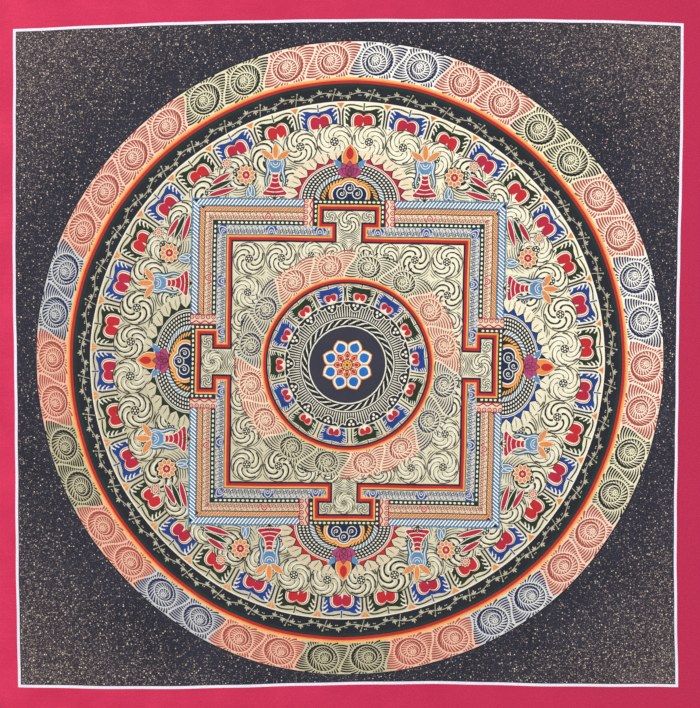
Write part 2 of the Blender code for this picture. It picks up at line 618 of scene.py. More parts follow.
def lay(name, bm, layer, paints, of_disc=True, place=None):
    """Lays drawn paint on the cloth, one thin coat over another, and attaches the piece to the root body."""
    bm.normal_update()
    bmesh.ops.reverse_faces(bm, faces=[face for face in bm.faces if face.normal.z < 0.0])
    mesh = as_mesh(bm, name)
    flat = points_of(mesh)
    corners = np.empty(len(mesh.loops), np.int32)
    mesh.loops.foreach_get("vertex_index", corners)
    low, high = flat[:, :2].min(axis=0), flat[:, :2].max(axis=0)
    spots = 0.01 + 0.98 * (flat[:, :2] - low) / (high - low).max()
    mesh.uv_layers.new(name="OFBake").data.foreach_set("uv", spots[corners].astype(np.float32).ravel())
    if of_disc:
        flat[:, :2] = on_disc(flat[:, :2], place)
    flat[:, :2] += wobble(flat)
    flat[:, 2] = THICKNESS / 2.0 + LAYER * layer
    hang(mesh, flat)
    mesh.update()
    for material in paints:
        mesh.materials.append(material)
    piece = show(name, mesh)
    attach(piece, "root")


# ---- motifs of the scroll rings
# Nested circles of a scroll wheel: size as a share of the first, and the side where each meets the last
WHEEL_CIRCLES = ((1.0, 0.0), (0.64, 3.6), (0.34, 5.6), (0.09, 0.0))
WHEEL_WIDE = 1.12
TOOTH_PITCH = 2.3
TOOTH_LEAN = 0.42
RAY_SWEEP = 0.62
SWAY = 4.2
PALE_SEAM = 0.6


def draw_comb_wheel(bm, radius, ink, bold):
    """A scroll wheel: circles nested off centre, with curving wedge teeth on the inner side of each."""
    x = y = 0.0
    for (share, _), (next_share, side) in zip(WHEEL_CIRCLES, WHEEL_CIRCLES[1:]):
        outer, inner = radius * share, radius * next_share
        next_x, next_y = polar((outer - inner) * 0.55, side, x, y)
        closed_stroke(bm, circle(outer, 30, x, y), 0.36 * bold, ink)
        for angle in turns(round(tau * outer / (TOOTH_PITCH * (0.6 + 0.4 * share)))):
            root = polar(outer, angle, x, y)
            tip = polar(inner + 0.95, angle + TOOTH_LEAN, next_x, next_y)
            long = dist(root, tip)
            if long > 0.9:
                middle = polar(long * 0.10, angle, *lerp(root, tip, 0.5))
                wide = 1.28 * bold * share ** 0.4
                stroke(bm, [root, middle, tip], (wide, wide * 0.82, wide * 0.35), ink)
        x, y = next_x, next_y
    for angle in turns(5):
        dot(bm, *polar(radius * 0.09, angle, x, y), radius * 0.036, ink, 5)


def draw_ring_rays(bm, radius, half_wide, half_high, ink, rays, spike, widths):
    """Curving rays outside a scroll wheel, in a cell with swaying sides; every other one may go past it."""
    corner = hypot(half_wide, half_high) + SWAY
    for i, angle in enumerate(turns(rays)):
        run = []
        for t in shares(40):
            x, y = polar(radius + (corner - radius) * t, angle + RAY_SWEEP * t ** 1.35)
            x *= WHEEL_WIDE
            side = abs(x - SWAY * sin(pi / 2.0 * y / half_high))
            if side > half_wide or not -half_high < y < half_high + spike * (i % 2):
                break
            run.append((x, y))
        if len(run) > 3:
            stroke(bm, [run[round((len(run) - 1) * t)] for t in shares(4)], widths, ink)


def draw_scroll_cell(bm, half_wide, half_high, ink, rays, spike=0.0, widths=(0.5, 1.05, 1.2), bold=1.0):
    """One cell of a scroll ring: a comb wheel in its field of rays."""
    radius = half_high * 0.82
    draw_comb_wheel(bm, radius, ink, bold)
    scale(bm, WHEEL_WIDE, 1.0)
    draw_ring_rays(bm, radius * 1.12, half_wide - PALE_SEAM, half_high - 0.1, ink, rays, spike, widths)


def draw_gilt_vine(bm, half_wide):
    """A length of running vine in gilt line: a wave with sprigs of three leaves, berries and slant stems."""
    def wave(x):
        return x, 1.3 * sin(pi * x / half_wide)

    stroke(bm, [wave(half_wide * (t * 2.0 - 1.0)) for t in shares(16)], 0.5)
    for share, side in ((-0.72, 1.0), (-0.24, -1.0), (0.26, 1.0), (0.74, -1.0)):
        foot = wave(share * half_wide)
        for turn, long, wide in ((-0.85, 2.4, 1.0), (-0.1, 3.1, 1.15), (0.7, 2.5, 1.0)):
            tip = foot[0] + long * sin(turn), foot[1] + side * long * cos(turn)
            x, y = lerp(foot, tip, 0.55)
            stroke(bm, [foot, (x + 0.25, y), tip], (0.25, wide, 0.2))
        for off in (-0.6, 0.6):
            dot(bm, foot[0] + 1.5 + off, foot[1] - side * (1.3 + 0.5 * abs(off)), 0.42, 0, 6)
    stem = [(half_wide - 1.3, -4.2), (half_wide + 0.1, 0.0), (half_wide + 1.3, 3.4)]
    stroke(bm, stem, (0.35, 0.45, 0.35))
    dot(bm, *stem[2], 0.6)


# ---- motifs of the lotus rings
# A petal in its own millimetres: half outlines, from the middle line at the tip round to the foot
PETAL_WIDE = 14.2
PETAL_HIGH = 24.8
GROUND_HALF = [(0.0, 19.4), (1.2, 20.0), (4.4, 20.4), (7.4, 21.6), (10.4, 21.4), (11.5, 18.6), (11.3, 12.0),
               (10.6, 6.0), (9.4, 0.6), (0.0, -0.6)]
HEART_HALF = [(0.0, 16.8), (1.6, 18.1), (4.4, 18.5), (7.2, 16.8), (8.3, 13.3), (7.9, 9.4), (6.8, 5.6),
              (4.8, 2.4), (0.0, 1.4)]
LOBE_HALF = [(0.0, 16.3), (1.4, 17.5), (4.2, 18.2), (6.8, 16.6), (7.7, 13.2), (7.5, 9.6), (6.6, 6.6),
             (4.9, 4.6), (2.5, 5.4), (1.3, 7.6), (0.65, 9.8), (0.0, 12.0)]
LEAF_SIDE = [(12.6, 0.0), (13.0, 8.0), (13.1, 15.4), (12.7, 19.8), (10.6, 22.9), (6.0, 23.3), (0.8, 22.2)]
CURLS = (((12.2, 21.6), (10.4, 21.2), (8.8, 19.6), 1.25), ((12.4, 18.7), (10.7, 18.3), (9.3, 16.6), 1.15),
         ((12.2, 15.8), (10.9, 15.4), (9.9, 13.8), 0.95), ((11.9, 10.4), (10.4, 10.1), (9.1, 8.3), 1.1),
         ((11.5, 7.0), (10.0, 6.7), (8.8, 5.0), 1.05))
HEART_MIDDLE = 12.5
PLAIN_HEART = (1.0, 1.0, 0.0)
SMALL_HEART = (0.84, 0.90, 5.2)
# Petals of a ring: how many, and in degrees the turn of the ring and the drift of its petals across and up
LOTUS_PETALS = 34
LOTUS_DRIFT = (1.6, -0.8, 1.05)
INNER_PETALS = 14
INNER_DRIFT = (9.8, -2.5, 0.0)
INNER_SIZE = 0.46


def draw_petal_ground(bm, ink):
    patch(bm, curve_path(both_sides(GROUND_HALF), 4, closed=True), ink)
    patch(bm, [(-0.45, 19.9), (0.45, 19.9), (0.35, PETAL_HIGH), (-0.35, PETAL_HIGH)], ink)


def draw_petal_corner(bm):
    """The small triangles between two petals, at the outer edge of their ring."""
    corner = [(PETAL_WIDE - 2.4, PETAL_HIGH), (PETAL_WIDE, PETAL_HIGH), (PETAL_WIDE, PETAL_HIGH - 3.8)]
    for side in SIDES:
        patch(bm, mirrored(corner, side))


def heart_shape(half, factor, heart):
    """An outline of a petal's heart, which may be made smaller and set lower in its petal."""
    wide, high, drop = heart
    return [(x * factor * wide, (y - HEART_MIDDLE) * factor * high + HEART_MIDDLE - drop)
            for x, y in curve_path(both_sides(half), 4, closed=True)]


def draw_heart_rim(bm, heart):
    """The pale edge of a petal's heart, and the flame that rises into it."""
    patch(bm, heart_shape(HEART_HALF, 0.96, heart))


def draw_petal_lines(bm, ink, heart):
    """Lines round a petal and its heart."""
    closed_stroke(bm, heart_shape(HEART_HALF, 0.985, heart), 0.5, ink)
    for side in SIDES:
        stroke(bm, curve_path(mirrored(LEAF_SIDE, side), 3), (0.95, 1.1, 0.8), ink)


def draw_petal_curls(bm, further):
    """Cream leaf curls that reach in over a petal's ground from both sides."""
    for side in SIDES:
        for foot, (waist_x, waist_y), (tip_x, tip_y), wide in CURLS:
            wide *= 1.0 + 0.12 * further
            hook = mirrored([foot, (waist_x - further * 0.5, waist_y), (tip_x - further, tip_y)], side)
            stroke(bm, curve_path(hook, 3), (wide * 0.7, wide, wide * 0.45))
            dot(bm, *hook[-1], wide * 0.42, 0, 6)


def draw_heart(bm, ink, heart):
    """The red heart of a petal, split from below by a pale flame."""
    patch(bm, heart_shape(LOBE_HALF, 0.78, heart), ink)
    closed_stroke(bm, heart_shape(HEART_HALF, 0.86, heart), 0.42, ink)


# ---- motifs of the cloud whorls
# Lines of one arm: turn of its start, reach of its start and end, sweep, and three widths
WHORL_LINES = (
    (0.00, 0.33, 0.98, 1.60, (0.150, 0.085, 0.035)),
    (0.24, 0.44, 0.95, 1.38, (0.028, 0.066, 0.028)),
    (0.46, 0.60, 1.00, 1.10, (0.028, 0.062, 0.028)),
)
HUB_DOTS = 6


def draw_arm(bm, radius, start, inner, outer, sweep, widths):
    """One curving stroke of a whorl, its reach and widths as shares of the whorl's radius."""
    path = [polar(radius * (inner + (outer - inner) * t), start + sweep * t ** 1.7) for t in shares(6)]
    stroke(bm, path, tuple(radius * width for width in widths))


def draw_whorl_ink(bm, radius, arms, lines=3, bold=1.0):
    """A cloud whorl: hooked arms that wind out from a dark hub, with finer lines between."""
    for start in turns(arms):
        for shift, inner, outer, sweep, widths in WHORL_LINES[:lines]:
            draw_arm(bm, radius, start + shift, inner, outer, sweep, [bold * width for width in widths])
    dot(bm, 0.0, 0.0, radius * 0.26, 0, 18)


def draw_whorl_light(bm, radius, arms):
    """The light strokes between a whorl's lines, and the ring of light dots on its hub."""
    for start in turns(arms):
        draw_arm(bm, radius, start + 0.72, 0.34, 0.93, 1.3, (0.05, 0.13, 0.04))
    for angle in turns(HUB_DOTS):
        dot(bm, *polar(radius * 0.165, angle), radius * 0.05, 0, 5)
    dot(bm, 0.0, 0.0, radius * 0.065, 0, 6)


def draw_whorl_ground(bm, radius):
    """The round patch of cream that sets a whorl off from what is behind it, in its dark line."""
    bmesh.ops.create_circle(bm, cap_ends=True, cap_tris=True, segments=28, radius=radius * 1.01)
    stroke(bm, arc_path(radius * 1.045, 0.0, tau, 28), radius * 0.055, 1)


# ---- motifs of the straight borders
def draw_rope(bm, wide, pitch, broad, fine=0.0, ink=0):
    """One slanting strand of a rope border: a broad stroke and, where there is one, a fine one beside it."""
    high = wide / 2.0 - 0.3
    lean = wide * 0.42
    strand = [(-lean, -high), (-lean * 0.3, -high * 0.4), (lean * 0.3, high * 0.4), (lean, high)]
    stroke(bm, strand, (broad * 0.7, broad, broad * 0.7), ink)
    if fine:
        stroke(bm, [(x + pitch * 0.5, y) for x, y in strand], fine, ink + 1)


def draw_pearl(bm):
    dot(bm, 0.0, 0.0, 1.0, 0, 8)
    scale(bm, 1.05, 0.72)


def draw_scroll_fill(bm, half_wide):
    """A short length of scroll border: three curling waves and a small ring."""
    base = 0.25 - half_wide
    for step, reach in ((0.5, 1.0), (1.5, 0.35), (2.5, 0.8)):
        foot = SCROLL_PITCH * (step / 4.0 - 0.5)
        stroke(bm, [(foot + 0.6, base), (foot, base * 0.3), (foot - 0.9, -base * reach)], (0.6, 0.5, 0.3))
    foot = SCROLL_PITCH * (3.5 / 4.0 - 0.5)
    closed_stroke(bm, arc_path(0.8, 0.0, tau * 0.9, 9, foot, base * 0.3), 0.4)
    stroke(bm, [(foot - 0.9, -base), (foot, -base * 0.75), (foot + 0.9, -base)], 0.4)


def draw_rosette_ground(bm, half_wide):
    patch(bm, [(x * 1.35, y) for x, y in circle(half_wide, 20)])


def draw_rosette(bm, half_wide):
    """A rosette of the scroll borders: a double arch over a bead, with a curl on either side."""
    base = 0.3 - half_wide
    for reach, width in ((0.88, 0.75), (0.46, 0.7)):
        arch = arc_path(half_wide * reach, -pi / 2.0, pi / 2.0, 10, 0.0, base + 0.2)
        stroke(bm, [(x, base + (y - base) * 1.75) for x, y in arch], width)
    for side in SIDES:
        curl = [(1.0, base), (1.45, base + 0.4), (1.6, base + 1.7), (1.3, base + 2.3)]
        stroke(bm, mirrored(curl, side * half_wide * 0.86), (0.4, 0.75, 0.35))
    dot(bm, 0.0, base + half_wide * 0.3, 0.55)


# ---- motifs of the blossoms
def leaf_outline(inner, outer, half_angle):
    """A pointed petal that stands on a ring about (0, 0)."""
    middle = (inner + outer) / 2.0
    bulge = middle * sin(half_angle)
    half = [(0.0, outer), (bulge * 0.66, middle + (outer - middle) * 0.56), (bulge, middle),
            (bulge * 0.76, inner + (middle - inner) * 0.35), (0.0, inner)]
    return both_sides(curve_path(half, 3))


def draw_leaf(bm, inner, outer, half_angle, ink=0):
    patch(bm, leaf_outline(inner, outer, half_angle), ink, 5.0)


def draw_leaf_edge(bm, inner, outer, half_angle, width, ink=0):
    closed_stroke(bm, leaf_outline(inner, outer, half_angle), width, ink)


def drop_half():
    """The right half of a hanging leaf, round at its outer end and pointed at its inner one."""
    (inner, outer), (long, bulge) = LEAF_ROW, DROP
    half = [(0.0, outer), (bulge * 0.72, outer - long * 0.08), (bulge, outer - long * 0.36),
            (bulge * 0.66, outer - long * 0.72), (0.0, inner)]
    return curve_path(half, 3)


def draw_drop(bm, ink):
    patch(bm, both_sides(drop_half()), ink, 5.0)


def draw_drop_edge(bm):
    """The line round a hanging leaf's point, and its vein."""
    half = drop_half()[4:]
    stroke(bm, half + mirrored(half[-2::-1], -1.0), (0.25, 0.62, 0.25))
    (inner, outer), long = LEAF_ROW, DROP[0]
    vein = [(0.5, outer - long * 0.2), (0.1, outer - long * 0.5), (0.0, inner + long * 0.2)]
    stroke(bm, vein, (0.2, 0.42, 0.2))


# ---- zones of the round mandala
RING_INKS = (RED_INK, NAVY_INK, BLACK_INK)
WHEELS_A_SEGMENT = 2
SEGMENT_INKS = (1, 0, 2, 0) * 4 + (1, 0, 0, 2, 0)
COURT_SEGMENT_INKS = (2, 0, 1, 0) * 2
OUTER_RAYS = 44
COURT_RAYS = 36
VINE_REPEATS = 44
ARC_FACTORS = (1.18, 1.33, 1.48, 1.63, 1.78, 1.93, 2.08)
LIGHT_ARC_FACTORS = (1.255, 1.405, 1.555, 1.705, 1.855, 2.005)
# Rings of whorls round the palace: radius, how many, size and turn of the first, as a share of a step
FIELD_WHORLS = ((144.8, 40, 10.9, 0.5), (124.4, 36, 9.8, 0.0))
WHORL_UNIT = 10.0


def four_sides(profile):
    """A closed outline from the part of it that runs along the top side, turned to all four."""
    corners = []
    for _ in range(4):
        corners += profile
        profile = [(y, -x) for x, y in profile]
    return corners


def along_sides(bm, corners, offset, unit, mesh, skip=0.0, gap=0.0):
    """Repeats a motif along each side of an outline, its foot inwards, but not near the side's middle."""
    rail = offset_outline(corners, offset)
    for a, b in zip(rail, rail[1:] + rail[:1]):
        length = dist(a, b)
        heading = atan2(b[1] - a[1], b[0] - a[0])
        repeats = max(1, round((length - 2.0 * skip) / unit))
        for i in range(repeats):
            far = skip + (length - 2.0 * skip) * (i + 0.5) / repeats
            if abs(far - length / 2.0) >= gap:
                stamp(bm, mesh, at(*lerp(a, b, far / length), -heading))


def segment_rings(borders, inks, wanted=(0, 1, 2)):
    """The washes under a ring of comb wheels, segment by segment."""
    sweep = tau / len(inks)
    bm = bmesh.new()
    for start, ink in zip(turns(len(inks)), inks):
        if ink in wanted:
            ring(bm, *borders, ink, sweep, start)
    return bm


def scroll_wheels(name, borders, segments, layer, rays, **options):
    """A ring of comb wheels in segments of one ink, each segment's wheels facing each other."""
    inner, outer = borders
    middle, half_high = (inner + outer) / 2.0, (outer - inner) / 2.0
    inks = [ink for ink in segments for _ in range(WHEELS_A_SEGMENT)]
    half_wide = pi * middle / len(inks)
    cells = [motif(draw_scroll_cell, half_wide, half_high, ink, rays, bent_to=middle, **options)
             for ink in range(len(RING_INKS))]
    bm = bmesh.new()
    for ink, angle in zip(inks, turns(len(inks), 0.5)):
        stamp(bm, cells[ink], at(0.0, 0.0, angle))
    lay(name, bm, layer, RING_INKS)


def outer_scroll_ring():
    """The broad outer ring: segments of two wheels, each segment in one ink on its own wash."""
    lay("outer_ring_washes", segment_rings(SCROLL_RING, SEGMENT_INKS), 2, [PINK_WASH, PALE_WASH, GOLD_WASH])
    scroll_wheels("outer_ring_scrolls", SCROLL_RING, SEGMENT_INKS, 3, OUTER_RAYS)


def inner_scroll_ring(layer):
    """The smaller ring of comb wheels in the court, its rays ending free on the cream."""
    borders = INNER_RIM, COURT - 4.4
    lay("inner_ring_ground", drawn((ring, INNER_RIM - 3.0, COURT - 4.2)), layer, [CREAM])
    lay("inner_ring_blush", segment_rings(borders, COURT_SEGMENT_INKS, (0,)), layer + 1, [COURT_BLUSH])
    scroll_wheels("inner_ring_scrolls", borders, COURT_SEGMENT_INKS, layer + 2, COURT_RAYS,
                  spike=2.6, widths=(0.36, 0.76, 0.88), bold=0.86)


def disc_grounds():
    """The plain rings of paint under the mandala's ornament, from its dark edge inwards."""
    amber, orange, red, green = RING_LINES
    bm = drawn((ring, SCROLL_RING[1], RIM), (ring, *amber, 1), (ring, *orange, 6), (ring, *red, 2),
               (ring, *green, 3), (ring, *GILT_RING), (ring, LOTUS_RING[1], GILT_RING[0], 4),
               (ring, 90.0, LOTUS_RING[1], 5))
    lay("mandala_grounds", bm, 2, [BLACK, AMBER, RED, DARK_GREEN, BRIGHT, CREAM, ORANGE])


def gilt_ring():
    """Running vine in gilt line on the black ring."""
    middle = (GILT_RING[0] + GILT_RING[1]) / 2.0
    vine = motif(draw_gilt_vine, pi * middle / VINE_REPEATS, bent_to=middle)
    lay("gilt_vine", drawn((around, [vine], VINE_REPEATS)), 3, [GILT])


def lotus_ring(name, count, inner, size, layer, drift, heart=PLAIN_HEART, further=0.0):
    """A ring of lotus petals, blue and dark green in turn, with red hearts; they drift from even spacing."""
    turn, drift_across, drift_up = (radians(degrees) for degrees in drift)
    wide = pi * inner / count / (PETAL_WIDE * size)
    coats = (
        ("grounds", [(draw_petal_ground, 0), (draw_petal_ground, 1)], [BLUE, LEAF_GREEN]),
        ("corners", [(draw_petal_corner,)], [ORANGE]),
        ("heart_rims", [(draw_heart_rim, heart)], [BRIGHT]),
        ("lines", [(draw_petal_lines, 0, heart), (draw_petal_lines, 1, heart)], [NAVY_INK, BLACK_INK]),
        ("curls", [(draw_petal_curls, further)], [BRIGHT]),
        ("hearts", [(draw_heart, 1, heart), (draw_heart, 0, heart)], [RED, CRIMSON]),
    )
    for step, (part, draws, paints) in enumerate(coats):
        bm = bmesh.new()
        petals = [motif(*draw, bent_to=inner, wide=wide, size=size) for draw in draws]
        for i, even in enumerate(turns(count, -1.0)):
            angle = turn + even
            angle += drift_across * sin(angle) + drift_up * cos(angle)
            stamp(bm, petals[i % len(petals)], at(0.0, 0.0, angle))
        lay(f"{name}_{part}", bm, layer + step, paints)


def cloud_arcs(bm, centres, fits, factors, width, ink):
    """Scalloped cloud lines: arcs round each whorl, kept where that whorl is the nearest."""
    spots = np.array([(x, y) for x, y, _ in centres])
    sizes = np.array([size for _, _, size in centres])
    for index, (x, y, size) in enumerate(centres):
        for factor in factors if size > 5.0 else factors[:1]:
            run = []
            for px, py in arc_path(size * factor, 0.0, tau, 40, x, y):
                away = np.hypot(spots[:, 0] - px, spots[:, 1] - py) / sizes
                away[index] += 0.001
                if away.argmin() == index and fits(px, py):
                    run.append((px, py))
                    continue
                finish_arc(bm, run, width, ink)
                run = []
            finish_arc(bm, run, width, ink)


def finish_arc(bm, run, width, ink):
    """Draws the arc that was kept so far, if there is enough of it."""
    if len(run) > 2:
        stroke(bm, run, (width * 0.4, width, width * 0.4), ink)


def whorls(name, centres, layer, fits, place=None):
    """A field of cloud whorls: scalloped lines, round grounds, dark arms and light strokes."""
    arcs, grounds, ink, light = (bmesh.new() for _ in range(4))
    cloud_arcs(arcs, centres, fits, ARC_FACTORS, 0.62, 0)
    cloud_arcs(arcs, centres, fits, LIGHT_ARC_FACTORS, 0.5, 1)
    ground = motif(draw_whorl_ground, WHORL_UNIT)
    arms = [(motif(draw_whorl_ink, WHORL_UNIT, count), motif(draw_whorl_light, WHORL_UNIT, count))
            for count in (6, 7, 8)]
    small = motif(draw_whorl_ink, WHORL_UNIT, 5, 2, 1.7), motif(draw_whorl_light, WHORL_UNIT, 5)
    for x, y, size in centres:
        spot = at(x, y, HAND.uniform(0.0, tau), size / WHORL_UNIT, HAND.random() < 0.5)
        dark, pale = arms[HAND.randrange(3)] if size > 6.0 else small
        for coat, mesh in ((grounds, ground), (ink, dark), (light, pale)):
            stamp(coat, mesh, spot)
    for step, (part, bm, paints) in enumerate((
        ("cloud_lines", arcs, [BLACK_INK, BRIGHT]), ("whorl_grounds", grounds, [CREAM, BLACK_INK]),
        ("whorl_arms", ink, [BLACK_INK]), ("whorl_lights", light, [BRIGHT]),
    )):
        lay(f"{name}_{part}", bm, layer + step, paints, place=place)


def cloud_field(layer):
    """Whorls between the lotus ring and the palace, in rings, where the palace leaves room."""
    centres = []
    for radius, count, size, start in FIELD_WHORLS:
        for angle in turns(count, start):
            x, y = polar(radius, angle)
            if max(abs(x), abs(y)) > PALACE + size * 0.2:
                centres.append((x, y, size * HAND.uniform(0.97, 1.03)))
    ground = drawn((ring, LOTUS_RING[0] - 6.0, CLOUD_EDGE))
    lay("field_cloud_ground", ground, layer - 0.5, [CREAM], place=FIELD_PLACE)
    whorls("field", centres, layer, lambda x, y: hypot(x, y) < CLOUD_EDGE + 1.4, FIELD_PLACE)


# ---- the square palace
ROPES = (("blue_rope", BLUE_ROPE, (1.05, 0.5), [ICE, SKY]),
         ("orange_rope", ORANGE_ROPE, (1.1, 0.46), [ORANGE, PEACH]))
# Scroll borders: places of the rosettes along a side, and paints of the rosettes' ground, scrolls, rosettes
BORDERS = (
    ("rose_border", ROSE_BAND, (-55.0, 55.0), (BLUSH, RED_INK, CRIMSON)),
    ("blue_border", BLUE_BAND, (-52.8, -19.6, 19.6, 52.8, PALACE - sum(BLUE_BAND) / 2.0),
     (BLUE, SLATE_INK, GREY_WASH)),
)
# Whorls of the court: across, out and size, in each corner and each way round, then in each gate
COURT_WHORLS = ((67.6, 67.6, 10.4), (68.4, 45.6, 10.0), (45.6, 68.4, 10.0), (70.6, 25.6, 8.6),
                (25.6, 70.6, 8.6), (70.8, 8.6, 8.0), (8.6, 70.8, 8.0))
GATE_WHORLS = ((0.0, 92.4, 7.1), (-12.9, 96.1, 3.6), (12.9, 96.1, 3.6))
GATE_RIM = 0.4


def palace(layer):
    """The square palace: two ropes, a rose scroll, pearls and a blue scroll, from its edge inwards."""
    walls = four_sides([(-PALACE, PALACE)])
    gap = PORCH_PEARLS[1] + COLUMN - TUCK
    lay("palace_base", drawn((tile, -PALACE, -PALACE, PALACE, PALACE)), layer, [BLACK])
    bands = bmesh.new()
    for (near, far), ink in (
        ((-0.7, 0.1), 2), ((BLUE_ROPE[1], ORANGE_ROPE[0]), 2), ((ORANGE_ROPE[1], ROSE_BAND[0]), 3),
        (ROSE_BAND, 0), (PEARL_BAND, 4), (BLUE_BAND, 1),
    ):
        band(bands, walls, -far, -near, ink)
    lay("palace_bands", bands, layer + 1, [BLUSH, GREY_WASH, SKY, BROWN, DARK_GREEN])

    for name, (near, far), strand, paints in ROPES:
        rope = motif(draw_rope, far - near, ROPE_PITCH, *strand)
        lines = drawn((along_sides, walls, -(near + far) / 2.0, ROPE_PITCH, rope, 0.0, gap))
        lay(name, lines, layer + 2, paints)

    for name, (near, far), places, (ground, scrolls, rosettes) in BORDERS:
        middle, half_wide = (near + far) / 2.0, (far - near) / 2.0 - 0.1
        fill = drawn((along_sides, walls, -middle, SCROLL_PITCH, motif(draw_scroll_fill, half_wide)))
        lay(f"{name}_scrolls", fill, layer + 2, [scrolls])
        for step, (draw, colour) in enumerate(((draw_rosette_ground, ground), (draw_rosette, rosettes)), 1):
            mesh, top = motif(draw, half_wide), bmesh.new()
            for x in places:
                corner = x + 0.1 > PALACE - middle
                stamp(top, mesh, at(x, PALACE - middle, pi / 4.0 if corner else 0.0))
            lay(f"{name}_rosettes_{step}", on_four_sides(top), layer + 2 + 0.5 * step, [colour])

    pearls = drawn((along_sides, walls, -sum(PEARL_BAND) / 2.0, PEARL_PITCH, motif(draw_pearl), 1.2, gap))
    lay("pearl_border", pearls, layer + 2, [BRIGHT])


def draw_column_scroll(bm, half_wide, half_high):
    """The red work on a porch column: a wavy line beside a row of rings, between two edge lines."""
    for side in SIDES:
        stroke(bm, [(side * half_wide, half_high * (t * 2.0 - 1.0)) for t in shares(5)], 0.6)
    wave = [(-1.7 + 0.75 * sin(tau * 3.0 * t), half_high * (t * 2.0 - 1.0)) for t in shares(24)]
    stroke(bm, wave, 0.8)
    for share in (0.1, 0.3, 0.5, 0.7, 0.9):
        middle = half_high * (2.0 * share - 1.0)
        closed_stroke(bm, circle(1.25, 12, 1.6, middle), 0.62)
        dot(bm, 1.6, middle, 0.4, 0, 5)


def porches(layer):
    """A porch in the middle of each side, across the borders: pearls round the gate, a column either side."""
    inner = PALACE - PEARL_BAND[1]
    near, far = PORCH_PEARLS
    grounds, work, pearls = drawn((tile, -far, inner, far, PORCH_TOP)), bmesh.new(), bmesh.new()
    column = motif(draw_column_scroll, COLUMN / 2.0 - 0.3, (COLUMN_TOP - inner) / 2.0)
    for side in SIDES:
        middle = side * (far + COLUMN / 2.0)
        tile(grounds, middle - COLUMN / 2.0, inner, middle + COLUMN / 2.0, COLUMN_TOP, 1)
        stamp(work, column, at(middle, (COLUMN_TOP + inner) / 2.0, flip=side < 0.0))
    pearl = motif(draw_pearl)
    middle, top = (near + far) / 2.0, PORCH_TOP - (far - near) / 2.0
    for t in shares(round(2.0 * middle / PEARL_PITCH)):
        stamp(pearls, pearl, at(middle * (2.0 * t - 1.0), top))
    for i in range(1, 5):
        for side in SIDES:
            stamp(pearls, pearl, at(side * middle, top - PEARL_PITCH * i, pi / 2.0))
    lay("porch_grounds", on_four_sides(grounds), layer, [DARK_GREEN, BLUSH])
    lay("porch_columns", on_four_sides(work), layer + 1, [CRIMSON])
    lay("porch_pearls", on_four_sides(pearls), layer + 1, [BRIGHT])


def gates_and_court(layer):
    """The stepped gates, the lines round the court and the court's cream ground."""
    (stem, low), (bar, high) = GATE_STEPS
    gate = drawn((tile, -stem, COURT, stem, low, 4), (tile, -bar, low, bar, high, 4))
    bm = drawn((tile, -COURT, -COURT, COURT, COURT, 4), (add_work, on_four_sides(gate)))
    outline = four_sides([(-COURT, COURT), (-stem, COURT), (-stem, low), (-bar, low), (-bar, high),
                          (bar, high), (bar, low), (stem, low), (stem, COURT)])
    for ink, (near, far) in enumerate(COURT_LINES):
        band(bm, outline, near, far, ink)
    lay("court_ground_and_lines", bm, layer, [BLACK, RED, ORANGE, AMBER, CREAM])


def court_whorls(layer):
    """Whorls in the four corners of the court, along its sides and in its gates."""
    centres = [(sx * x, sy * y, size) for x, y, size in COURT_WHORLS for sx in SIDES for sy in SIDES]
    for turn in range(4):
        for *spot, size in GATE_WHORLS:
            centres.append((*(Matrix.Rotation(pi / 2.0 * turn, 2) @ Vector(spot)), size))

    def fits(x, y):
        near, far = sorted((abs(x), abs(y)))
        (stem, low), (bar, high) = GATE_STEPS
        in_stem = near < stem - GATE_RIM and far < low + GATE_RIM
        in_bar = near < bar - GATE_RIM and low + GATE_RIM < far < high - GATE_RIM
        return far < COURT - GATE_RIM or in_stem or in_bar

    whorls("court", centres, layer, fits)


# ---- the inner circle
CUSPS = 15
CUSP_START = radians(6.8)
CUSP_HALF = [(8.75, -0.1), (8.2, -1.5), (6.9, -2.7), (5.4, -2.9), (4.3, -2.1), (4.2, -3.9), (3.0, -5.6),
             (1.5, -6.5), (0.0, -6.8)]
CUSP_PEARLS = ((-1.35, -2.5), (1.35, -2.5), (0.0, -4.6))
RAYS = CUSPS * 9
CORD_STRANDS = 32
HUB_HEART = 3.4
HUB_PETALS = 8
HUB_LEAF = pi / HUB_PETALS * 1.02


def inner_circle(layer):
    """The plain rings of paint under the inner circle's ornament, and its slate blue middle."""
    amber, orange, red, dark = INNER_LINES
    bm = drawn((ring, *amber), (ring, *orange, 1), (ring, *red, 4), (ring, *dark, 5), (ring, *INNER_LOTUS, 2),
               (ring, CUSP_RIM, INNER_LOTUS[0], 3), (ring, HUB + 0.8, CUSP_RIM, 5), (ring, HUB, HUB + 0.8, 3),
               (ring, 0.5, HUB, 6), (dot, 0.0, 0.0, 0.5, 6, 36))
    lay("inner_circle_grounds", bm, layer, [AMBER, ORANGE, CREAM, BRIGHT, RED, BLACK, SLATE])


def draw_cusp_back(bm):
    """The black behind a cusp, which stops the rays below it."""
    half = [(CUSP_HALF[0][0], 0.0)] + [(x * 1.03, y * 1.1 - 0.45) for x, y in CUSP_HALF]
    patch(bm, half + mirrored(half[-2::-1], -1.0))


def draw_cusp(bm):
    """A cusp of cloud line: a shoulder on either side of a lobe that holds three pearls."""
    for side in SIDES:
        stroke(bm, curve_path(mirrored(CUSP_HALF, side), 3), 0.62)
    for x, y in CUSP_PEARLS:
        dot(bm, x, y, 0.98, 0, 9)


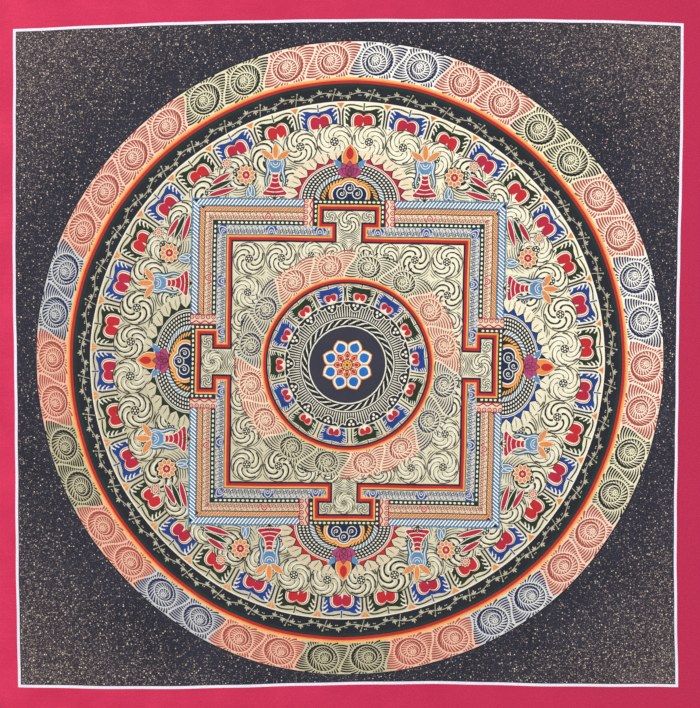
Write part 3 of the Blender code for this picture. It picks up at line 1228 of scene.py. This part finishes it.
def hub_borders(layer):
    """Cream ornament on the black of the inner circle: twisted cord, rays and pearled cusps."""
    cord = bmesh.new()
    near, far = CORD_RING
    middle, wave = (near + far) / 2.0, (far - near) / 2.0 - 0.5
    for angle in turns(CORD_STRANDS):
        strand = [polar(middle - wave * cos(pi * t), angle + tau * 1.3 * t / CORD_STRANDS) for t in shares(8)]
        stroke(cord, strand, (0.3, 0.95, 0.3))
    near, far = RAY_RING
    ring(cord, near - 0.8, near - 0.1)
    for angle in turns(RAYS, 0.5):
        stroke(cord, [polar(near + (far - near) * t, angle) for t in (0.05, 0.4, 1.0)], (0.66, 0.6, 0.44))
    lay("hub_borders", cord, layer, [BRIGHT])
    backs = drawn((around, [motif(draw_cusp_back, bent_to=CUSP_RIM)], CUSPS, CUSP_START))
    lay("hub_cusp_backs", backs, layer + 1, [BLACK])
    lines = drawn((around, [motif(draw_cusp, bent_to=CUSP_RIM)], CUSPS, CUSP_START),
                  (ring, CUSP_RIM - 0.3, CUSP_RIM + 0.2))
    lay("hub_cusps", lines, layer + 6, [BRIGHT])


def hub_flower(layer):
    """The lotus flower in the middle of the mandala, row on row of petals."""
    coats = (
        ("hub_petals_outer", (draw_leaf, 7.6, 17.4, HUB_LEAF), BRIGHT, 0.5),
        ("hub_petal_edges", (draw_leaf_edge, 7.6, 17.4, HUB_LEAF, 0.6), ORANGE, 0.5),
        ("hub_petal_hearts", (draw_leaf, 8.8, 15.6, HUB_LEAF * 0.66), AZURE, 0.5),
        ("hub_petals_inner", (draw_leaf, 2.6, 9.8, HUB_LEAF), CRIMSON, 0.0),
        ("hub_inner_edges", (draw_leaf_edge, 2.6, 9.8, HUB_LEAF, 0.45), BRIGHT, 0.0),
        ("hub_inner_veins", (draw_leaf_edge, 4.4, 8.0, HUB_LEAF * 0.5, 0.4), AMBER, 0.0),
    )
    for step, (name, draw, colour, shift) in enumerate(coats):
        bm = drawn((around, [motif(*draw)], HUB_PETALS, tau / HUB_PETALS * shift))
        lay(name, bm, layer + step, [colour])
    lay("hub_heart", drawn((dot, 0.0, 0.0, HUB_HEART, 0, 28)), layer + len(coats), [AMBER])
    seeds = drawn((around, [motif(dot, 0.0, HUB_HEART * 0.62, 0.5, 0, 8)], HUB_PETALS),
                  (dot, 0.0, 0.0, HUB_HEART * 0.28, 0, 12),
                  (closed_stroke, arc_path(HUB_HEART, 0.0, tau * 0.97, 28), 0.45))
    lay("hub_seeds", seeds, layer + len(coats) + 1, [BROWN])


# ---- lunettes over the porches
# Radii of a lunette's rows before it is drawn out sideways: line, hanging leaves, beads and ropes
ARCH = 24.2
ARCH_LINES = ((ARCH, ARCH + 0.55), (ARCH + 0.95, ARCH + 1.35))
LEAVES = 13
LEAF_ROW = (25.9, 33.4)
# Length and half width of a hanging leaf
DROP = (LEAF_ROW[1] - LEAF_ROW[0], sum(LEAF_ROW) / 2.0 * sin(pi / LEAVES * 0.58))
BEAD_ROWS = ((22.8, 38), (20.9, 35), (19.0, 32))
# Ropes: radii, how many strands, the strand's widths and its paint
ROPE_ROWS = (((15.0, 17.9), 26, (0.8, 0.4), 0), ((12.2, 14.6), 22, (0.9, 0.0), 4))
DRAWN_OUT = (1.34, 0.98)
LUNETTE_GROUNDS = [CRIMSON, BLUE, RED, LEAF_GREEN]
LUNETTE_COATS = (
    ("lunette_grounds", [BLACK]),
    ("lunette_leaves", [CREAM, CRIMSON, SKY, LEAF_GREEN]),
    ("lunette_leaf_edges", [BLACK_INK, BRIGHT, BLACK]),
    ("lunette_beads", [BRIGHT, SKY, RED, ORANGE, AMBER]),
    ("lunette_petals", [CRIMSON, RED, ORANGE, MAGENTA, SKY, DEEP_BLUE]),
    ("lunette_petal_edges", [BRIGHT, AMBER, ORANGE, BROWN]),
)

# The trefoil arch of a lunette: middles of its lobes, with the clock angles each is drawn between
LOBES = (((-6.4, 3.4), -2.4, 1.4), ((0.0, 6.6), -1.9, 1.9), ((6.4, 3.4), -1.4, 2.4))
TREFOIL_LINES = ((7.3, 0.9, 1), (6.4, 0.9, 2), (5.5, 0.8, 0))
ROUNDELS = ((-5.3, 4.0), (5.3, 4.0), (0.0, 7.6))
ROUNDEL = 3.3

# The lotus bud on a lunette: its foot, the lean of its petals, and its bud, leaves and petals
CROWN = (0.0, 16.6)
CROWN_LEAN = (-1.3, 1.3, -0.66, 0.66, 0.0)
CROWN_BUD = (3.0, 20.0, 0.48)
CROWN_LEAF = (5.0, 14.4, 0.2)
CROWN_PETAL = (-1.4, 9.0, 0.84)

# Beside a porch, in millimetres from its middle line and from the palace's edge
STAND_AT = 51.0
STAND_HALF = [(0.0, 17.2), (2.2, 17.0), (2.5, 13.4), (3.6, 9.6), (6.2, 6.4), (8.4, 4.2), (7.6, 2.6),
              (4.4, 2.2), (0.0, 2.0)]
STAND_BELTS = ((5.4, 6.0), (8.0, 4.0), (11.6, 2.6), (14.6, 2.2))
BOWL_HALF = [(0.0, 26.2), (3.2, 26.6), (4.6, 23.6), (4.2, 20.2), (2.6, 17.4), (0.0, 16.6)]
SCARF = [(4.2, 27.6), (5.9, 24.0), (4.9, 18.6), (6.4, 12.6), (5.4, 8.6)]
FOOT_LEAN = (-1.25, -0.65, 0.0, 0.65, 1.25)
BUD_LEAN = (-0.95, 0.0, 0.95)
# Blossoms: across, up, radius, colour of the petals and of the heart
BLOSSOMS = ((71.0, 15.6, 6.6, 3, 0), (84.4, 23.0, 3.4, 2, 2))
# Feathers and leaves: foot across and up, turn, length, width and colour
FEATHERS = ((97.0, 1.6, -1.30, 20.5, 3.6, 1), (96.6, 5.2, -1.16, 19.0, 3.6, 3),
            (94.4, 9.2, -1.04, 16.0, 3.6, 1), (65.5, 1.2, 0.30, 9.5, 3.99, 2),
            (69.4, 1.0, -0.2, 8.0, 3.36, 2))


def half_round(bm, radius, ink=0):
    patch(bm, arc_path(radius, -pi / 2.0, pi / 2.0, 32), ink)


def half_row(bm, mesh, count):
    """Repeats a motif over the upper half turn, from side to side."""
    around(bm, [mesh], count, pi * (0.5 / count - 0.5), pi)


def fan(bm, draw, foot, angles, *args):
    """Petals that spread from one foot."""
    for angle in angles:
        stamp(bm, motif(draw, *args), at(*foot, angle))


def raise_to(bm, height):
    bmesh.ops.translate(bm, verts=bm.verts, vec=(0.0, height, 0.0))


def lunette_coats():
    """The half-round lunette over a porch, drawn about the middle of the porch's top, coat by coat."""
    _, _, leaf_edges, beads, petals, petal_edges = coats = [bmesh.new() for _ in LUNETTE_COATS]
    half_row(leaf_edges, motif(draw_drop_edge), LEAVES)
    half_round(leaf_edges, ARCH, 2)
    for reach, count in BEAD_ROWS:
        half_row(beads, motif(dot, 0.0, reach, 0.62), count)
    for row, count, strand, ink in ROPE_ROWS:
        rope = motif(draw_rope, row[1] - row[0], 2.0, *strand, ink, bent_to=sum(row) / 2.0)
        half_row(beads, rope, count)
    for line in ARCH_LINES:
        ring(leaf_edges, *line, 1, pi, -pi / 2.0)
    for coat in coats:
        scale(coat, *DRAWN_OUT)
    trefoil_coats(petals, petal_edges)
    crown_coats(leaf_edges, beads, petals, petal_edges)
    for coat in coats:
        raise_to(coat, PORCH_TOP)
    return coats


def trefoil(reach):
    """The outline of three joined lobes that stand on the porch."""
    path = []
    for middle, start, end in LOBES:
        others = [lobe[0] for lobe in LOBES if lobe[0] != middle]
        for place in arc_path(reach, start, end, 40, *middle):
            if place[1] >= 0.0 and all(dist(place, other) >= reach - 0.02 for other in others):
                path.append(place)
    return path


def draw_roundel(bm, x, y):
    """A plain spiral in a ring."""
    closed_stroke(bm, circle(ROUNDEL, 20, x, y), 0.55)
    outer, inner = ROUNDEL * 0.62, 0.5
    spiral = [polar(outer * exp(log(inner / outer) * t), 0.6 + 1.1 * tau * t, x, y) for t in shares(10)]
    stroke(bm, spiral, (0.3, 0.6, 0.5))


def trefoil_coats(petals, petal_edges):
    """The small trefoil arch over a gate, with three blue roundels in cream rings."""
    outer = trefoil(TREFOIL_LINES[0][0] + 0.5)
    patch(petals, [(outer[0][0], 0.0)] + outer + [(outer[-1][0], 0.0)], 5)
    for reach, width, ink in TREFOIL_LINES:
        stroke(petal_edges, trefoil(reach), width, ink)
    for spot in ROUNDELS:
        draw_roundel(petal_edges, *spot)


def crown_coats(leaf_edges, beads, petals, petal_edges):
    """The lotus bud that crowns a lunette: a magenta flower with an orange bud and two blue leaves."""
    x, y = CROWN
    dot(leaf_edges, x, y + 5.2, 9.8, 2, 24)
    fan(beads, draw_leaf, CROWN, (-0.85, 0.85), *CROWN_LEAF, 1)
    fan(leaf_edges, draw_leaf_edge, CROWN, (-0.85, 0.85), *CROWN_LEAF, 0.9, 1)
    fan(beads, draw_leaf, CROWN, (0.0,), *CROWN_BUD, 3)
    fan(petals, draw_leaf, CROWN, (0.0,), 9.6, 18.0, 0.18, 1)
    fan(petals, draw_leaf, CROWN, CROWN_LEAN, *CROWN_PETAL, 3)
    fan(petal_edges, draw_leaf_edge, CROWN, CROWN_LEAN, *CROWN_PETAL, 0.36, 3)
    bud = [(x + px, y + py) for px, py in leaf_outline(*CROWN_BUD)[:9]]
    stroke(petal_edges, mirrored(bud[:0:-1], -1.0) + bud, 0.5)


def stand_coats(coats, middle):
    """An offering stand: a crimson bell foot, a blue bowl with scarf ends and an orange bud in its leaves."""
    grounds, leaves, lines, petals, hearts, edges = coats
    for half, ink in ((STAND_HALF, 1), (BOWL_HALF, 2)):
        body = [(middle + x, y) for x, y in curve_path(both_sides(half), 4, closed=True)]
        patch(leaves, body, ink)
        closed_stroke(lines, body, 0.65, 1)
    for high, half in STAND_BELTS:
        belt = [(middle + half * (t * 2.0 - 1.0), high - 0.8 * sin(pi * t)) for t in shares(6)]
        stroke(lines, belt, 0.5, 1)
    for reach in (1.6, 3.2):
        stroke(lines, arc_path(reach, -pi * 0.5, -pi * 1.5, 8, middle, 24.2), 0.5, 1)
    foot, top = (middle, 0.0), (middle, 25.0)
    fan(leaves, draw_leaf, foot, FOOT_LEAN, 0.4, 4.6, 0.36, 0)
    fan(lines, draw_leaf_edge, foot, FOOT_LEAN, 0.4, 4.6, 0.36, 0.4)
    fan(grounds, draw_leaf, top, BUD_LEAN, 0.4, 13.2, 0.34)
    fan(petals, draw_leaf, top, BUD_LEAN[::2], 1.4, 12.4, 0.26, 3)
    fan(hearts, draw_leaf, top, (0.0,), 1.2, 12.4, 0.36, 2)
    fan(edges, draw_leaf_edge, top, BUD_LEAN, 1.2, 12.4, 0.30, 0.4)
    for side in SIDES:
        path = curve_path([(middle + side * x, y) for x, y in SCARF], 4)
        for coat, widths, ink in ((grounds, (2.4, 3.2, 1.6), 0), (hearts, (1.4, 2.2, 0.7), 4),
                                  (edges, (0.3, 0.7, 0.3), 0)):
            stroke(coat, path, widths, ink)


def spray_coats(side):
    """An offering stand, blossoms, feathers and leaves beside a porch, on the lunette's own coats."""
    grounds, leaves, lines, petals, hearts, edges = coats = [bmesh.new() for _ in LUNETTE_COATS]
    stand_coats(coats, side * STAND_AT)
    for x, y, turn, long, wide, ink in FEATHERS:
        place = at(side * x, y, side * turn)
        half_angle = wide / long
        stamp(grounds, motif(draw_leaf, -0.6, long + 0.7, half_angle * 1.5), place)
        stamp(leaves, motif(draw_leaf, 0.0, long, half_angle, ink), place)
        stamp(lines, motif(draw_leaf_edge, 0.0, long, half_angle, 0.55, 1), place)
    petal = pi / 10.0 * 1.04
    for x, y, radius, ink, heart in BLOSSOMS:
        place = at(side * x, y)
        stamp(lines, motif(dot, 0.0, 0.0, radius * 1.06, 2, 26), place)
        for coat, mesh, count in (
            (petals, motif(draw_leaf, radius * 0.4, radius, petal, ink), 10),
            (edges, motif(draw_leaf_edge, radius * 0.4, radius, petal, 0.5), 10),
            (hearts, motif(draw_leaf, radius * 0.1, radius * 0.5, 0.52, heart), 6),
        ):
            stamp(coat, as_mesh(drawn((around, [mesh], count))), place)
        stamp(edges, motif(dot, 0.0, 0.0, radius * 0.15, 1, 12), place)
    for coat in coats:
        raise_to(coat, PALACE)
    return coats


def lunettes(layer):
    """A lunette over each porch with its stands, blossoms and feathers to either side."""
    parts = lunette_coats(), spray_coats(-1.0), spray_coats(1.0)
    for step, (name, paints) in enumerate(LUNETTE_COATS):
        quarter = drawn(*((add_work, part[step]) for part in parts))
        lay(name, on_four_sides(quarter), layer + step, paints)
    arches, drops = bmesh.new(), bmesh.new()
    for side in range(4):
        arch = drawn((half_round, LEAF_ROW[1] - 2.2, side))
        row = drawn((half_row, motif(draw_drop, side % 2), LEAVES))
        for part, whole in ((arch, arches), (row, drops)):
            scale(part, *DRAWN_OUT)
            raise_to(part, PORCH_TOP)
            stamp(whole, as_mesh(part), at(0.0, 0.0, pi / 2.0 * side))
    lay("lunette_arches", arches, layer, LUNETTE_GROUNDS)
    lay("lunette_drops", drops, layer + 0.5, [BLUSH, CREAM])


# ---- the canvas, its ground and margin
def canvas_sheet():
    """The cut canvas itself: one closed sheet in its hanging form, bare cotton at the back."""
    across, up = SHEET_CELLS
    bm = bmesh.new()
    bmesh.ops.create_grid(bm, x_segments=across, y_segments=up, size=1.0)
    mesh = as_mesh(bm, "cotton_canvas")
    hang(mesh, points_of(mesh) * (WIDTH / 2.0, HEIGHT / 2.0, 0.0))
    mesh.shade_smooth()
    sheet = show("cotton_canvas", mesh)
    body = sheet.modifiers.new("cloth thickness", "SOLIDIFY")
    body.thickness = THICKNESS * MM
    body.offset = 0.0
    body.use_even_offset = True
    mesh.materials.append(cotton_material())
    return sheet


def field_ground():
    """Charcoal ground inside the ruled line, and the crimson margin outside it."""
    x0, y0, x1, y1 = FIELD
    half_w, half_h = WIDTH / 2.0 - 0.2, HEIGHT / 2.0 - 0.2
    lay("charcoal_field", drawn((tile, *FIELD)), 1, [charcoal_material()], of_disc=False)
    margin = drawn((tile, -half_w, y1, half_w, half_h), (tile, -half_w, -half_h, half_w, y0),
                   (tile, -half_w, y0, x0, y1), (tile, x1, y0, half_w, y1))
    lay("crimson_margin", margin, 1, [crimson_material()], of_disc=False)
    corners = [(x0, y1), (x1, y1), (x1, y0), (x0, y0)]
    lines = drawn((band, corners, -LINE / 2.0, LINE / 2.0, 0, 3.0),
                  (band, corners, -LINE / 2.0 - 0.45, -LINE / 2.0, 1, 3.0))
    lay("ruled_line", lines, 2, [LILAC, BLACK_INK], of_disc=False)


# ---- camera, floor and light
FRAME_WIDTH = 0.4802
VIEW_DISTANCE = 0.85
VIEW_TILT = radians(2.0)
SENSOR = 36.0
FLOOR_Z = -0.60
FLOOR_SIZE = 3.0
FLOOR_COLOUR = (0.78, 0.77, 0.75, 1.0)
DAYLIGHT = 0.38
LIGHT_AIM = Vector((0.0, 0.0, -0.25))
# Lights: place, size and power
LIGHTS = (
    ("key", (-1.0, -1.7, 0.7), 1.4, 23.0),
    ("fill", (1.4, -1.5, -0.1), 1.2, 12.6),
    ("back", (0.6, 1.8, 0.6), 1.4, 12.0),
)


def aim(thing, way):
    thing.rotation_euler = way.to_track_quat("-Z", "Y").to_euler()


def camera():
    data = bpy.data.cameras.new("camera")
    data.sensor_fit = "HORIZONTAL"
    data.sensor_width = SENSOR
    data.lens = SENSOR * VIEW_DISTANCE / FRAME_WIDTH
    eye = show("camera", data)
    away = Vector((0.0, -cos(VIEW_TILT), sin(VIEW_TILT))) * VIEW_DISTANCE
    eye.location = Vector((0.0, 0.0, -HEIGHT / 2.0 * MM)) + away
    aim(eye, -away)
    bpy.context.scene.camera = eye


def studio():
    bm = bmesh.new()
    bmesh.ops.create_grid(bm, x_segments=2, y_segments=2, size=FLOOR_SIZE)
    bmesh.ops.translate(bm, verts=bm.verts, vec=(0.0, 0.0, FLOOR_Z))
    mesh = as_mesh(bm, "floor")
    look = Look("pale_floor", 0.8)
    look.shader["Base Color"].default_value = FLOOR_COLOUR
    mesh.materials.append(look.material)
    show("floor", mesh)
    world = bpy.data.worlds.new("studio")
    world.use_nodes = True
    sky = world.node_tree.nodes["Background"].inputs
    sky["Color"].default_value = (1.0, 1.0, 1.0, 1.0)
    sky["Strength"].default_value = DAYLIGHT
    bpy.context.scene.world = world
    bpy.context.scene.view_settings.view_transform = "Standard"
    for name, place, size, power in LIGHTS:
        data = bpy.data.lights.new(name, "AREA")
        data.shape = "DISK"
        data.size = size
        data.energy = power
        lamp = show(name, data)
        lamp.location = place
        aim(lamp, LIGHT_AIM - Vector(place))


# ---- putting it together
canvas = canvas_sheet()
field_ground()
disc_grounds()
outer_scroll_ring()
gilt_ring()
lotus_ring("lotus", LOTUS_PETALS, LOTUS_RING[0], 1.0, 3, LOTUS_DRIFT)
cloud_field(9)
palace(13)
porches(16)
lunettes(18)
gates_and_court(18)
court_whorls(19)
inner_scroll_ring(23)
inner_circle(26)
lotus_ring("inner_lotus", INNER_PETALS, INNER_LOTUS[0] - 0.4, INNER_SIZE, 27, INNER_DRIFT, SMALL_HEART, 0.7)
hub_borders(27)
hub_flower(27)

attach(canvas, "root")
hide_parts(CANVAS)
camera()
studio()
